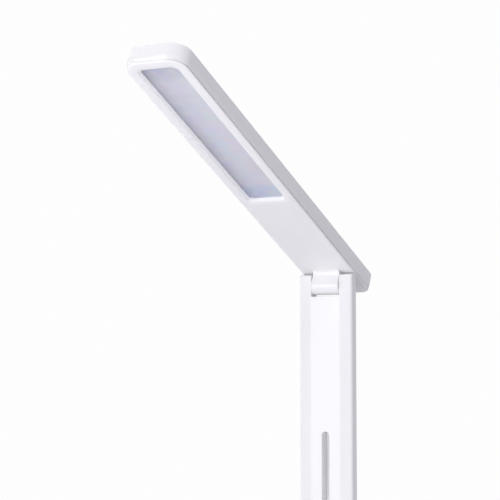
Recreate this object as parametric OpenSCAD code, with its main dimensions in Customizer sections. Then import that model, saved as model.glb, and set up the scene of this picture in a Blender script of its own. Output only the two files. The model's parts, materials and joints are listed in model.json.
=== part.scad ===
// Folding desk lamp: a slim lighted head, a flat slotted arm and a weighted base.
// Millimetres. The lamp stands on z = 0 with its base centred on the origin,
// and its head points along -Y.

/* [Base] */
// Width of the base
base_w = 112; // [104:1:130]
// Length of the base from front to back
base_l = 168; // [162:1:200]
// Height of the base above the table
base_h = 22; // [21.5:0.5:26]
// Corner radius of the base seen from above
base_corner_r = 24; // [18:1:30]
// Rounding of the upper edge of the base
base_edge_r = 3; // [1.5:0.5:3.5]
// Wall of the base cover
base_wall = 2.4; // [2:0.1:2.8]
// Thickness of the bottom plate
plate_t = 2.4; // [2:0.1:2.8]
// Thickness of the rubber pad under the base
pad_t = 1.5; // [1.2:0.1:2]
// Depth of the pad's pocket in the bottom plate
pad_sink = 0.7; // [0.4:0.1:0.9]
// Distance of the pad from the edge of the base
pad_margin = 8; // [6:0.5:12]
// Radius of the screw bosses in the base cover
base_boss_r = 4; // [3.5:0.1:5]
// Distance of the base screws from the sides of the base
base_screw_inset = 14; // [12:0.5:16]

/* [Ballast] */
// Distance of the ballast from the sides of the base
ballast_side = 15; // [14:0.5:20]
// Distance of the ballast from the front of the base
ballast_front = 26; // [24:1:36]
// Thickness of the steel ballast
ballast_t = 8; // [6:0.5:8.5]
// Gap between the ballast and the hinge bracket
ballast_gap = 2; // [1:0.5:4]
// Distance between the two ballast screws
ballast_screw_gap = 50; // [30:1:60]

/* [Fold hinge] */
// Distance of the fold axis from the back of the base
fold_back = 24; // [22:1:28]
// Gap between the folded head and the base
fold_gap = 2.4; // [1.5:0.1:5]
// Radius of the base ears round the fold axis
fold_ear_r = 9; // [8.5:0.5:10]
// Thickness of each base ear
fold_ear_t = 7; // [6:0.5:8]
// Radius of the knuckle at the foot of the arm
fold_knuckle_r = 8.4; // [7.5:0.1:9]
// Gap between each base ear and the side of the arm
fold_side_gap = 0.3; // [0.3:0.05:0.5]
// Radius of the fold pin
fold_pin_r = 3; // [2.5:0.1:3.4]
// Wall of the plain bushes on the fold pin
fold_bush_wall = 1.2; // [1:0.1:1.6]
// Length of each plain bush on the fold pin
fold_bush_l = 9; // [6:0.5:12]
// Radius of the friction washers on the fold pin
fold_washer_r = 5.4; // [5:0.1:6]
// Thickness of each friction washer on the fold pin
fold_washer_t = 0.6; // [0.5:0.05:0.7]
// Radius of the caps over the ends of the fold pin
fold_cap_r = 5; // [4.5:0.1:6]
// Thickness of the caps over the ends of the fold pin
fold_cap_t = 1.2; // [1:0.1:2]
// Thickness of the foot of the hinge bracket
bracket_foot_t = 3; // [2.5:0.1:4]
// Length of the foot of the hinge bracket
bracket_foot_l = 24; // [22:0.5:28]
// Distance between the bracket screws, front to back
bracket_screw_gap = 11; // [10:0.5:12]

/* [Arm] */
// Length of the arm between its two hinge axes
arm_l = 262; // [258:1:320]
// Width of the arm
arm_w = 36.6; // [34:0.1:40]
// Depth of the arm
arm_d = 8.6; // [8.2:0.1:10]
// Rounding of the long edges of the arm
arm_edge_r = 1.5; // [0.8:0.1:1.6]
// Wall of the arm shell
arm_wall = 1.8; // [1.7:0.1:2]
// Thickness of the cover on the back of the arm
arm_cover_t = 1.6; // [1.4:0.1:1.8]
// Distance from the top of the arm to the top of the slot
slot_drop = 100; // [80:1:110]
// Height of the lower end of the slot above the fold axis
slot_rise = 57.8; // [50:0.2:70]
// Width of the slot in the arm
slot_w = 5; // [4.6:0.1:6]
// Wall round the slot inside the arm
slot_rim_t = 1.2; // [1:0.1:1.4]
// Height of the collar between the foot knuckle and the arm shell
collar_h = 2.6; // [2:0.1:4]
// Length of the tongue that holds the foot in the arm
tongue_l = 24; // [20:0.5:26]
// Width of each steel bar in the arm
bar_w = 8; // [6:0.5:8.5]
// Thickness of each steel bar in the arm
bar_t = 3; // [2:0.1:3.4]
// Radius of the lead inside the arm
arm_lead_r = 1.4; // [1:0.1:1.6]

/* [Tilt hinge] */
// Radius of the ears at the top of the arm
ear_r = 7.8; // [7:0.1:8]
// Gap between the ears and the underside of the head
ear_gap = 0.35; // [0.3:0.05:0.6]
// Width of the notch between the ears
notch_w = 19.4; // [18:0.1:21]
// Depth of the notch below the tilt axis
notch_drop = 6.4; // [6.2:0.1:7]
// Solid web below the notch
notch_web = 4; // [3:0.5:5]
// Radius of the knuckle under the head
knuckle_r = 5.4; // [5:0.1:5.8]
// Gap between the knuckle and each ear
knuckle_gap = 0.45; // [0.45:0.05:0.7]
// Fillet between the front of the knuckle and the head
knuckle_fillet = 3; // [1.5:0.1:3.2]
// Fillet between the back of the knuckle and the head
knuckle_back_fillet = 1.4; // [0.8:0.1:2]
// Radius of the tilt pin
tilt_pin_r = 2.5; // [2:0.1:2.6]
// Wall of the plain bush on the tilt pin
tilt_bush_wall = 0.9; // [0.7:0.1:1.1]
// Radius of the friction washers on the tilt pin
tilt_washer_r = 5.2; // [4.6:0.1:5.3]
// Thickness of each friction washer on the tilt pin
tilt_washer_t = 0.4; // [0.3:0.01:0.4]
// Wall left outside the end of the tilt pin
tilt_end_wall = 2; // [1.5:0.1:2.5]
// Thickness of the plug over the tilt pin
tilt_plug_t = 1.4; // [1:0.1:1.5]
// Rise of the head above level
head_rise = 23.7; // [0:0.1:60]

/* [Head] */
// Length of the head from the tilt axis to its tip
head_reach = 245.2; // [225:0.1:246]
// Length of the head behind the tilt axis
head_tail = 26.8; // [24:0.1:34]
// Width of the head
head_w = 37.4; // [36:0.1:42]
// Thickness of the head
head_t = 11.5; // [11.2:0.1:14]
// Corner radius of the tip seen from above
tip_corner_r = 10; // [6:0.1:14]
// Corner radius of the tail seen from above
tail_corner_r = 7; // [5:0.1:12]
// Rounding of the upper edge of the head
head_top_round = 0.8; // [0.4:0.1:1.5]
// Width of the soft lower edge of the head
head_low_round = 2.2; // [0.9:0.1:2.4]
// Height of the bezel's edge below the seam
rim_h = 1; // [0.9:0.1:1.4]
// Height of the seam between the bezel and the top shell
seam_h = 0.4; // [0.2:0.05:0.6]
// Depth of the seam between the bezel and the top shell
seam_depth = 0.8; // [0.3:0.1:0.9]
// Thickness of the bezel
bezel_t = 2.4; // [2.1:0.1:2.6]
// Wall of the top shell
shell_wall = 1.6; // [1.4:0.1:1.8]
// Height of the lip that locates the top shell on the bezel
lip_h = 3; // [2:0.1:4]
// Thickness of that lip
lip_t = 1; // [0.8:0.1:1.2]

/* [Light window] */
// Length of the light window at the diffuser
window_l = 139.6; // [110:0.1:140.4]
// Width of the light window at the diffuser
window_w = 22.6; // [20:0.1:23]
// Distance from the end of the window to the tip of the head
window_from_tip = 8.5; // [8.4:0.1:20]
// Corner radius of the light window
window_r = 2.6; // [1.5:0.1:4]
// Slope round the window, as wide as it is deep
window_slope = 1.3; // [0.6:0.1:1.4]
// Depth of the shallow dish round that slope
surround_depth = 0.4; // [0.2:0.1:1]
// Width of the shallow dish at the sides of the window
surround_side = 3.6; // [2:0.1:3.8]
// Width of the shallow dish at the ends of the window
surround_end = 3.6; // [2:0.1:3.8]

/* [Light module] */
// Overlap of the diffuser behind the bezel
diffuser_lap = 1.4; // [1:0.1:1.5]
// Thickness of the diffuser
diffuser_t = 1.4; // [1.2:0.1:1.5]
// Thickness of the rib round the diffuser
rib_t = 0.9; // [0.7:0.1:1]
// Height of the reflector tray
tray_h = 3; // [2.4:0.1:3.1]
// Wall of the reflector tray
tray_wall = 1; // [0.8:0.1:1.2]
// Thickness of the light board
led_board_t = 1; // [0.8:0.1:1.2]
// Thickness of the heat spreader
spreader_t = 1.2; // [1:0.1:1.3]
// Length of board behind the tray that takes the screws
board_tab = 8; // [7:0.5:10]
// Number of lamp chips in each row
led_count = 14; // [10:1:20]
// Number of rows of lamp chips
led_rows = 2; // [1:1:3]
// Side of a lamp chip
led_size = 2.8; // [2:0.1:3.5]
// Thickness of a lamp chip
led_t = 0.8; // [0.5:0.1:1.2]
// Radius of the lead inside the head
head_lead_r = 1.1; // [0.8:0.1:1.4]
// Thickness of the steel plate over the knuckle
knuckle_plate_t = 1.5; // [1.2:0.1:2]
// Length of the steel plate over the knuckle
knuckle_plate_l = 28; // [20:0.5:32]
// Width of the steel plate over the knuckle
knuckle_plate_w = 24; // [20:0.5:26]

/* [Power button] */
// Radius of the power button
button_r = 7; // [5:0.1:8]
// Height of the power button above the base
button_proud = 1.2; // [0.8:0.1:1.6]
// Travel of the power button
button_travel = 0.6; // [0.3:0.05:0.8]
// Gap round the power button
button_gap = 0.3; // [0.3:0.05:0.5]
// Distance of the power button from the side of the base
button_side = 22; // [20:0.5:26]
// Distance of the power button from the front of the base
button_front = 34; // [30:0.5:40]
// Width of the button's retaining flange
button_flange = 1.4; // [1:0.1:2]
// Thickness of the button's retaining flange
button_flange_t = 1; // [0.8:0.1:1.2]

/* [Electronics] */
// Width of the control board
board_w = 34; // [30:0.5:36]
// Length of the control board
board_l = 44; // [36:0.5:48]
// Distance of the middle of the control board behind the power button
board_back = 10; // [6:0.5:12]
// Thickness of the circuit boards
board_t = 1.6; // [1.2:0.1:1.6]
// Gap between the control board and the ballast
board_gap = 1.2; // [0.8:0.1:1.4]
// Radius of the posts that hold the control board
board_post_r = 2.4; // [2:0.1:2.6]
// Side of the push switch on the control board
switch_w = 6; // [5:0.1:7]
// Height of the push switch body
switch_h = 3.4; // [3:0.1:3.6]
// Radius of the push switch plunger
plunger_r = 1.7; // [1.2:0.1:2]
// Width of the rechargeable battery
battery_w = 60; // [50:1:66]
// Gap between the battery and the control board
battery_gap = 14; // [4:1:24]
// Thickness of the rechargeable battery
battery_t = 6.4; // [5:0.1:6.6]
// Distance of the charging socket behind the middle of the base
socket_y = 20; // [10:1:30]
// Width of the charging socket
socket_w = 8.94; // [8.9:0.01:9]
// Height of the charging socket
socket_h = 3.2; // [3.16:0.01:3.26]
// Length of the charging socket
socket_l = 7.3; // [7:0.1:8]
// Wall of the charging socket
socket_wall = 0.3; // [0.25:0.05:0.35]
// Distance of the mouth of the charging socket from the side of the base
socket_inset = 0.6; // [0.4:0.1:0.8]
// Width of the charging board
charge_board_w = 10; // [8:0.5:14]
// Length of the charging board
charge_board_l = 18; // [14:0.5:22]
// Height of the charging board above the bottom plate
charge_board_lift = 4.8; // [4:0.1:6]

/* [Screws and fits] */
// Shank radius of the large screws
screw_r = 1.5; // [1.2:0.1:1.6]
// Shank radius of the small screws
small_screw_r = 1; // [0.8:0.1:1.1]
// Length of the screws in the cover and the hinge bracket
base_screw_l = 8; // [7:0.5:10]
// Length of the screws in the ballast
ballast_screw_l = 5; // [4:0.5:7]
// Length of the screws in the control board
board_screw_l = 5.6; // [5:0.1:6.5]
// Material left between the end of a screw hole and the face behind it
thread_floor = 0.8; // [0.6:0.1:1.2]
// Screw head radius as a multiple of the shank radius
head_ratio = 1.9; // [1.7:0.05:2]
// Screw head height as a multiple of the shank radius
head_flat = 0.6; // [0.5:0.05:0.7]
// Running clearance between a pin and its bush, measured on the radius
run_fit = 0.05; // [0.03:0.01:0.08]
// Clearance of a pressed or screwed piece, measured on the radius
press_fit = 0.02; // [0.01:0.005:0.03]
// Clearance between shells, covers and boards that slip together
slip_fit = 0.15; // [0.1:0.01:0.2]

/* [Hidden] */
$fn = 64;
eps = 0.01;          // overcut that keeps a cut clear of a face
layer = 0.01;        // thickness of one layer of a rounded form
round_steps = 4;     // layers in a rounded edge
hull_fn = 32;        // sides of the circles inside a rounded form
cross_w = 0.5;       // driver cross in a screw head, as a share of the shank radius
cross_depth = 0.55;  // driver cross depth, as a share of the head height
cut_l = arm_w;       // length of a cut that runs clear of a thin piece

// heights in the base
cover_z = pad_t - pad_sink;
plate_top = cover_z + plate_t;
ceiling = base_h - base_wall;
ballast_top = plate_top + ballast_t;
board_z = ballast_top + board_gap;
board_top = board_z + board_t;
button_x = base_w / 2 - button_side;
button_y = button_front - base_l / 2;
board_y = button_y + board_back;
battery_y = board_y + board_l / 2 + battery_gap;
charge_z = plate_top + charge_board_lift;
socket_z = charge_z + board_t + socket_h / 2;

// fold hinge
fold_y = base_l / 2 - fold_back;
tilt_drop = ear_r + ear_gap;
fold_z = base_h + fold_gap + head_t + tilt_drop;
ear_in = arm_w / 2 + fold_side_gap;
ear_out = ear_in + fold_ear_t;
fold_knuckle_w = 2 * (ear_in - fold_washer_t - 2 * run_fit);
bracket_screw_x = (ear_in + ear_out) / 2;
ballast_w = base_w - 2 * ballast_side;
ballast_l = fold_y - bracket_foot_l / 2 - ballast_gap + base_l / 2 - ballast_front;
ballast_y = ballast_front - base_l / 2 + ballast_l / 2;

// arm
shell_z = fold_knuckle_r + collar_h;
web_z = arm_l - notch_drop - notch_web;
slot_top = arm_l + ear_r - slot_drop;
slot_low = slot_rise;
slot_l = slot_top - slot_low;
front_in = -arm_d / 2 + arm_wall;
back_in = arm_d / 2 - arm_cover_t;
side_in = arm_w / 2 - arm_wall;
bar_x = slot_w / 2 + slot_rim_t + 0.5;
lead_x = (bar_x + bar_w + side_in) / 2;
small_head_r = small_screw_r * head_ratio;
small_head_h = small_screw_r * head_flat;
arm_boss_r = slot_w / 2;
arm_boss_z = [slot_low - slot_rim_t - arm_boss_r - 5, slot_top + slot_rim_t + arm_boss_r + 7,
              (slot_top + web_z) / 2, web_z - arm_boss_r - 5];
foot_screw_x = arm_w / 4;
foot_screw_z = shell_z + tongue_l / 2;

// tilt hinge
knuckle_w = notch_w - 2 * knuckle_gap;
tilt_plug_r = tilt_pin_r + 0.2;
pin_left = -arm_w / 2 + tilt_plug_t;
pin_right = arm_w / 2 - tilt_end_wall;

// head, along its own length from the tilt axis (s) and up from its underside
window_end = head_reach - window_from_tip;
window_start = window_end - window_l;
seam_top = rim_h + seam_h;
lip_inset = shell_wall + slip_fit;
diffuser_top = bezel_t + diffuser_t;
tray_top = diffuser_top + tray_h;
led_board_top = tray_top + led_board_t;
tray_start = window_start - diffuser_lap;
tray_end = window_end + diffuser_lap;
tray_w = window_w + 2 * diffuser_lap;
board_start = tray_start - board_tab;
led_screw_s = tray_start - board_tab / 2;
led_screw_x = tray_w / 4;

// ---------------------------------------------------------------- shared shapes

// rectangle with four true arcs, centred
module round_rect(w, l, r) {
    square([w - 2 * r, l], center = true);
    square([w, l - 2 * r], center = true);
    for (x = [-1, 1], y = [-1, 1])
        translate([x * (w / 2 - r), y * (l / 2 - r)]) circle(r = r);
}

// straight slot with round ends along the second axis
module stadium(w, l) {
    square([w, l - w], center = true);
    for (y = [-1, 1]) translate([0, y * (l - w) / 2]) circle(d = w);
}

// cylinder along X between two places
module x_rod(r, x0, x1) {
    translate([x0, 0, 0]) rotate([0, 90, 0]) cylinder(r = r, h = x1 - x0);
}

module x_ring(r_out, r_in, x0, x1) {
    difference() {
        x_rod(r_out, x0, x1);
        x_rod(r_in, x0 - eps, x1 + eps);
    }
}

// screw that points down from z = 0, with its head above
module screw(r, l) {
    head_h = r * head_flat;
    difference() {
        union() {
            translate([0, 0, -l]) cylinder(r = r, h = l + eps);
            cylinder(r = r * head_ratio, h = head_h);
        }
        for (a = [0, 90]) rotate([0, 0, a]) {
            translate([-r * 1.1, -r * cross_w / 2, head_h * (1 - cross_depth)])
                cube([r * 2.2, r * cross_w, head_h]);
        }
    }
}

// hole for such a screw, with room for its head
module screw_hole(r, l) {
    translate([0, 0, -l - 0.2]) cylinder(r = r + press_fit, h = l + 0.2 + eps);
    cylinder(r = r * head_ratio + slip_fit, h = cut_l);
}

// ---------------------------------------------------------------- places

module in_arm() {
    translate([0, fold_y, fold_z]) children();
}

// origin on the tilt axis, head along -Y, z up from the axis
module in_head() {
    translate([0, fold_y, fold_z + arm_l]) rotate([-head_rise, 0, 0]) children();
}

// the same, with z up from the underside of the head
module in_shell() {
    in_head() translate([0, 0, tilt_drop]) children();
}

module base_corners() {
    for (x = [-1, 1], y = [-1, 1])
        translate([x * (base_w / 2 - base_screw_inset), y * (base_l / 2 - base_screw_inset), 0])
            children();
}

module bracket_holes() {
    for (x = [-1, 1], y = [-1, 1])
        translate([x * bracket_screw_x, fold_y + y * bracket_screw_gap / 2, 0]) children();
}

module ballast_holes() {
    for (x = [-1, 1]) translate([x * ballast_screw_gap / 2, ballast_y, 0]) children();
}

module board_posts() {
    inset = board_post_r + 0.4;
    for (x = [-1, 1], y = [-1, 1])
        translate([button_x + x * (board_w / 2 - inset),
                   board_y + y * (board_l / 2 - inset), 0]) children();
}

// ---------------------------------------------------------------- base

module base_outline(inset) {
    round_rect(base_w - 2 * inset, base_l - 2 * inset, base_corner_r - inset);
}

// upright round post with a rounded upper edge
module rounded_post(r, h, edge_r) {
    rotate_extrude($fn = hull_fn) {
        square([r, h - edge_r]);
        square([r - edge_r, h]);
        translate([r - edge_r, h - edge_r]) intersection() {
            circle(r = edge_r, $fn = 4 * round_steps);
            square(edge_r);
        }
    }
}

module base_form() {
    hull() for (x = [-1, 1], y = [-1, 1])
        translate([x * (base_w / 2 - base_corner_r), y * (base_l / 2 - base_corner_r), cover_z])
            rounded_post(base_corner_r, base_h - cover_z, base_edge_r);
}

module base_cover() {
    color("white") difference() {
        union() {
            difference() {
                base_form();
                translate([0, 0, cover_z - eps])
                    linear_extrude(ceiling - cover_z + eps) base_outline(base_wall);
            }
            base_corners() translate([0, 0, plate_top])
                cylinder(r = base_boss_r, h = ceiling - plate_top + eps);
            board_posts() translate([0, 0, board_top])
                cylinder(r = board_post_r, h = ceiling - board_top + eps);
        }
        base_corners() plate_thread(base_screw_l);
        board_posts() translate([0, 0, board_top - eps])
            cylinder(r = small_screw_r + press_fit, h = board_screw_l - board_t + small_screw_r / 2);
        // slots that the ears of the hinge bracket pass through
        for (x = [-1, 1]) translate([x * bracket_screw_x, fold_y, base_h])
            cube([fold_ear_t + 2 * slip_fit, 2 * (fold_ear_r + slip_fit), 3 * base_wall],
                 center = true);
        translate([button_x, button_y, ceiling - eps])
            cylinder(r = button_r + button_gap, h = base_wall + 2 * eps);
        // mouth of the charging socket
        translate([-base_w / 2, socket_y, socket_z]) rotate([0, 90, 0])
            linear_extrude(4 * base_wall, center = true)
                stadium(socket_h + 2 * slip_fit, socket_w + 2 * slip_fit);
    }
}

module base_plate() {
    color("dimgray") difference() {
        union() {
            translate([0, 0, cover_z]) linear_extrude(plate_t) base_outline(base_wall + slip_fit);
            // posts under the charging board
            for (y = [-1, 1])
                translate([charge_board_x(), socket_y + y * charge_board_l / 4, plate_top - eps])
                    cylinder(r = board_post_r, h = charge_board_lift + eps);
        }
        translate([0, 0, cover_z - eps]) linear_extrude(pad_sink + eps) base_outline(pad_margin);
        // screw heads sit in the plate, above the pad
        base_corners() plate_screw_hole(base_screw_l);
        bracket_holes() plate_screw_hole(base_screw_l);
        ballast_holes() plate_screw_hole(ballast_screw_l);
    }
}

// a screw that comes up through the plate, head down
module plate_screw(l) {
    translate([0, 0, plate_top - screw_seat()]) rotate([180, 0, 0]) screw(screw_r, l);
}

module plate_screw_hole(l) {
    translate([0, 0, plate_top - screw_seat()]) rotate([180, 0, 0]) screw_hole(screw_r, l);
}

// threaded hole above the plate for such a screw
module plate_thread(l) {
    translate([0, 0, plate_top - eps]) cylinder(r = screw_r + press_fit, h = l + screw_r / 2);
}

// plate left between a screw head and the piece above it
function screw_seat() = plate_t - pad_sink - screw_r * head_flat - slip_fit;

function charge_board_x() = -base_w / 2 + base_wall + 2 * slip_fit + charge_board_w / 2;

module base_pad() {
    color([0.12, 0.12, 0.13]) linear_extrude(pad_t - slip_fit) base_outline(pad_margin + slip_fit);
}

module ballast() {
    color("slategray") difference() {
        translate([0, ballast_y, plate_top]) linear_extrude(ballast_t)
            round_rect(ballast_w, ballast_l, 6);
        ballast_holes() plate_thread(ballast_screw_l);
        // room for the bosses of the cover
        base_corners() translate([0, 0, plate_top - eps])
            cylinder(r = base_boss_r + 0.6, h = ballast_t + 2 * eps);
    }
}

module hinge_bracket() {
    color("white") difference() {
        union() {
            for (x = [-1, 1]) translate([x * bracket_screw_x, fold_y, 0]) {
                translate([0, 0, fold_z]) x_rod(fold_ear_r, -fold_ear_t / 2, fold_ear_t / 2);
                translate([-fold_ear_t / 2, -fold_ear_r, plate_top])
                    cube([fold_ear_t, 2 * fold_ear_r, fold_z - plate_top]);
            }
            translate([-ear_out, fold_y - bracket_foot_l / 2, plate_top])
                cube([2 * ear_out, bracket_foot_l, bracket_foot_t]);
        }
        translate([0, fold_y, fold_z])
            x_rod(fold_pin_r + press_fit, -ear_out - eps, ear_out + eps);
        bracket_holes() plate_thread(base_screw_l);
    }
}

module fold_pin() {
    color("silver") translate([0, fold_y, fold_z]) x_rod(fold_pin_r, -ear_out, ear_out);
}

module fold_pin_caps() {
    color("lightgray") for (x = [-1, 1]) translate([x * (ear_out + fold_cap_t / 2), fold_y, fold_z])
        x_rod(fold_cap_r, -fold_cap_t / 2, fold_cap_t / 2);
}

module fold_washers() {
    x0 = fold_knuckle_w / 2 + run_fit;
    color("black") translate([0, fold_y, fold_z]) for (x = [0, 1]) mirror([x, 0, 0])
        x_ring(fold_washer_r, fold_pin_r + run_fit, x0, x0 + fold_washer_t);
}

module bracket_screws() {
    color("silver") bracket_holes() plate_screw(base_screw_l);
}

module base_screws() {
    color("silver") base_corners() plate_screw(base_screw_l);
}

module ballast_screws() {
    color("silver") ballast_holes() plate_screw(ballast_screw_l);
}

module battery_pack() {
    l = ballast_y + ballast_l / 2 - battery_y;
    color("steelblue") translate([0, battery_y + l / 2, ballast_top])
        linear_extrude(battery_t) round_rect(battery_w, l, battery_t / 2);
}

module control_board() {
    color("seagreen") difference() {
        translate([button_x - board_w / 2, board_y - board_l / 2, board_z])
            cube([board_w, board_l, board_t]);
        board_posts() translate([0, 0, board_z - eps])
            cylinder(r = small_screw_r + slip_fit, h = board_t + 2 * eps);
    }
}

module board_screws() {
    color("silver") board_posts() translate([0, 0, board_z]) rotate([180, 0, 0])
        screw(small_screw_r, board_screw_l);
}

module push_switch() {
    color([0.15, 0.15, 0.16]) translate([button_x, button_y, board_top]) difference() {
        translate([-switch_w / 2, -switch_w / 2, 0]) cube([switch_w, switch_w, switch_h]);
        translate([0, 0, switch_h - plunger_sink()])
            cylinder(r = plunger_r + button_gap, h = switch_h);
    }
}

function plunger_sink() = button_travel + 1.2;
function button_low() = ceiling - 0.2 - button_flange_t - 0.4;

module charge_board() {
    color("seagreen")
        translate([charge_board_x() - charge_board_w / 2, socket_y - charge_board_l / 2, charge_z])
            cube([charge_board_w, charge_board_l, board_t]);
}

module charge_socket() {
    tongue = [2.3 * socket_wall, socket_w - 8 * socket_wall, 0.8 * socket_l];
    color("silver") translate([socket_inset - base_w / 2, socket_y, socket_z]) rotate([0, 90, 0]) {
        difference() {
            linear_extrude(socket_l) stadium(socket_h, socket_w);
            translate([0, 0, -eps]) linear_extrude(socket_l - socket_wall)
                stadium(socket_h - 2 * socket_wall, socket_w - 2 * socket_wall);
        }
        // contact tongue
        translate([-tongue.x / 2, -tongue.y / 2, socket_l - socket_wall / 2 - tongue.z]) cube(tongue);
    }
}

module power_button() {
    color([0.86, 0.87, 0.88]) translate([button_x, button_y, 0]) {
        translate([0, 0, button_low()])
            cylinder(r = button_r, h = base_h + button_proud - button_low());
        translate([0, 0, ceiling - 0.2 - button_flange_t])
            cylinder(r = button_r + button_flange, h = button_flange_t);
    }
}

module switch_plunger() {
    z0 = board_top + switch_h - plunger_sink() + button_travel + 0.2;
    color("gray") translate([button_x, button_y, z0])
        cylinder(r = plunger_r, h = button_low() - z0);
}

// ---------------------------------------------------------------- arm

module arm_outline() {
    round_rect(arm_w, arm_d, arm_edge_r);
}

module slot_cut(w, y0, y1) {
    translate([0, y1, (slot_top + slot_low) / 2]) rotate([90, 0, 0])
        linear_extrude(y1 - y0) stadium(w, slot_l + w - slot_w);
}

module arm_boss_places() {
    for (z = arm_boss_z) translate([0, back_in, z]) rotate([-90, 0, 0]) children();
}

module foot_screw_places() {
    for (x = [-1, 1])
        translate([x * foot_screw_x, back_in, foot_screw_z]) rotate([-90, 0, 0]) children();
}

module arm_front_shell() {
    color("white") in_arm() difference() {
        union() {
            difference() {
                union() {
                    translate([0, 0, shell_z]) linear_extrude(arm_l - shell_z) arm_outline();
                    intersection() {
                        translate([0, 0, arm_l - eps]) linear_extrude(ear_r + 1) arm_outline();
                        translate([0, 0, arm_l]) x_rod(ear_r, -arm_w / 2, arm_w / 2);
                    }
                }
                translate([-side_in, front_in, shell_z - eps])
                    cube([2 * side_in, arm_d, web_z - shell_z + eps]);
            }
            // wall round the slot, up to the cover
            slot_cut(slot_w + 2 * slot_rim_t, front_in - eps, back_in - slip_fit);
            // bosses for the screws of the cover
            arm_boss_places() translate([0, 0, -(back_in - slip_fit - front_in) - slip_fit])
                cylinder(r = arm_boss_r, h = back_in - slip_fit - front_in);
        }
        slot_cut(slot_w, -arm_d, arm_d);
        arm_boss_places() translate([0, 0, front_in - back_in + thread_floor])
            cylinder(r = small_screw_r + press_fit, h = arm_d);
        // notch for the knuckle of the head
        translate([-notch_w / 2, -arm_d, arm_l - notch_drop])
            cube([notch_w, 2 * arm_d, notch_drop + 2 * ear_r]);
        translate([0, 0, arm_l]) {
            x_rod(tilt_pin_r + press_fit, -arm_w / 2 - eps, pin_right);
            x_rod(tilt_plug_r + press_fit, -arm_w / 2 - eps, pin_left);
        }
    }
}

module arm_rear_cover() {
    w = 2 * (side_in - slip_fit);
    color("white") in_arm() difference() {
        translate([-w / 2, back_in, shell_z]) cube([w, arm_cover_t, web_z - slip_fit - shell_z]);
        arm_boss_places() translate([0, 0, arm_cover_t - small_head_h])
            screw_hole(small_screw_r, arm_cover_t);
        foot_screw_places() translate([0, 0, arm_cover_t - small_head_h])
            screw_hole(small_screw_r, arm_cover_t);
    }
}

module arm_foot() {
    color("white") in_arm() difference() {
        union() {
            x_rod(fold_knuckle_r, -fold_knuckle_w / 2, fold_knuckle_w / 2);
            translate([0, 0, fold_washer_r + 0.8]) linear_extrude(shell_z - fold_washer_r - 0.8)
                arm_outline();
            translate([-side_in + slip_fit, front_in + slip_fit, shell_z - eps])
                cube([2 * (side_in - slip_fit), back_in - front_in - 2 * slip_fit,
                      tongue_l + eps]);
        }
        x_rod(fold_pin_r + fold_bush_wall + press_fit, -arm_w, arm_w);
        foot_screw_places() translate([0, 0, front_in - back_in + thread_floor])
            cylinder(r = small_screw_r + press_fit, h = arm_d);
    }
}

module fold_bushes() {
    x1 = fold_knuckle_w / 2;
    color("goldenrod") in_arm() for (x = [0, 1]) mirror([x, 0, 0])
        x_ring(fold_pin_r + fold_bush_wall, fold_pin_r + run_fit, x1 - fold_bush_l, x1);
}

module arm_bars() {
    z0 = shell_z + tongue_l + slip_fit;
    color("gray") in_arm() for (x = [0, 1]) mirror([x, 0, 0])
        translate([bar_x, front_in, z0]) cube([bar_w, bar_t, web_z - slip_fit - z0]);
}

module arm_lead() {
    z0 = shell_z + tongue_l + slip_fit;
    color([0.2, 0.2, 0.22]) in_arm() translate([lead_x, front_in + arm_lead_r + run_fit, z0])
        cylinder(r = arm_lead_r, h = web_z - slip_fit - z0);
}

module arm_screws() {
    l = back_in - front_in - thread_floor - slip_fit + arm_cover_t - small_head_h;
    color("silver") in_arm() {
        arm_boss_places() translate([0, 0, arm_cover_t - small_head_h]) screw(small_screw_r, l);
        foot_screw_places() translate([0, 0, arm_cover_t - small_head_h]) screw(small_screw_r, l);
    }
}

module tilt_pin() {
    color("silver") in_arm() translate([0, 0, arm_l]) x_rod(tilt_pin_r, pin_left, pin_right);
}

module tilt_pin_plug() {
    color("white") in_arm() translate([0, 0, arm_l]) x_rod(tilt_plug_r, -arm_w / 2, pin_left);
}

module tilt_washers() {
    x0 = knuckle_w / 2 + (knuckle_gap - tilt_washer_t) / 2;
    color("white") in_arm() translate([0, 0, arm_l]) for (x = [0, 1]) mirror([x, 0, 0])
        x_ring(tilt_washer_r, tilt_pin_r + run_fit, x0, x0 + tilt_washer_t);
}

// ---------------------------------------------------------------- head

// outline of the head seen from below, with true arcs
module head_outline(inset) {
    w = head_w - 2 * inset;
    tip_r = tip_corner_r - inset;
    tail_r = tail_corner_r - inset;
    y0 = -head_reach + inset;
    y1 = head_tail - inset;
    translate([-w / 2, y0 + tip_r]) square([w, y1 - y0 - tip_r - tail_r]);
    translate([-w / 2 + tip_r, y0]) square([w - 2 * tip_r, tip_r + 1]);
    translate([-w / 2 + tail_r, y1 - tail_r - 1]) square([w - 2 * tail_r, tail_r + 1]);
    for (x = [-1, 1]) {
        translate([x * (w / 2 - tip_r), y0 + tip_r]) circle(r = tip_r);
        translate([x * (w / 2 - tail_r), y1 - tail_r]) circle(r = tail_r);
    }
}

// rectangle centred on the window, grown by one margin at its sides and one at its ends
module window_outline(side, end, r) {
    translate([0, -(window_start + window_end) / 2])
        round_rect(window_w + 2 * side, window_l + 2 * end, r);
}

// slab with the outline of the head and one rounded edge of width r and height h
module rounded_slab(z0, z1, r, h, upper) {
    hull() {
        translate([0, 0, upper ? z0 : z0 + h])
            linear_extrude(z1 - z0 - h) head_outline(0, $fn = hull_fn);
        for (k = [1:round_steps]) {
            a = 90 * k / round_steps;
            depth = h * (1 - sin(a));
            translate([0, 0, upper ? z1 - depth - layer : z0 + depth])
                linear_extrude(layer) head_outline(r * (1 - cos(a)), $fn = hull_fn);
        }
    }
}

module head_top_shell() {
    color("white") in_shell() difference() {
        rounded_slab(seam_top, head_t, head_top_round, head_top_round, true);
        translate([0, 0, seam_top - eps])
            linear_extrude(head_t - shell_wall - seam_top + eps) head_outline(shell_wall);
    }
}

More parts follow.
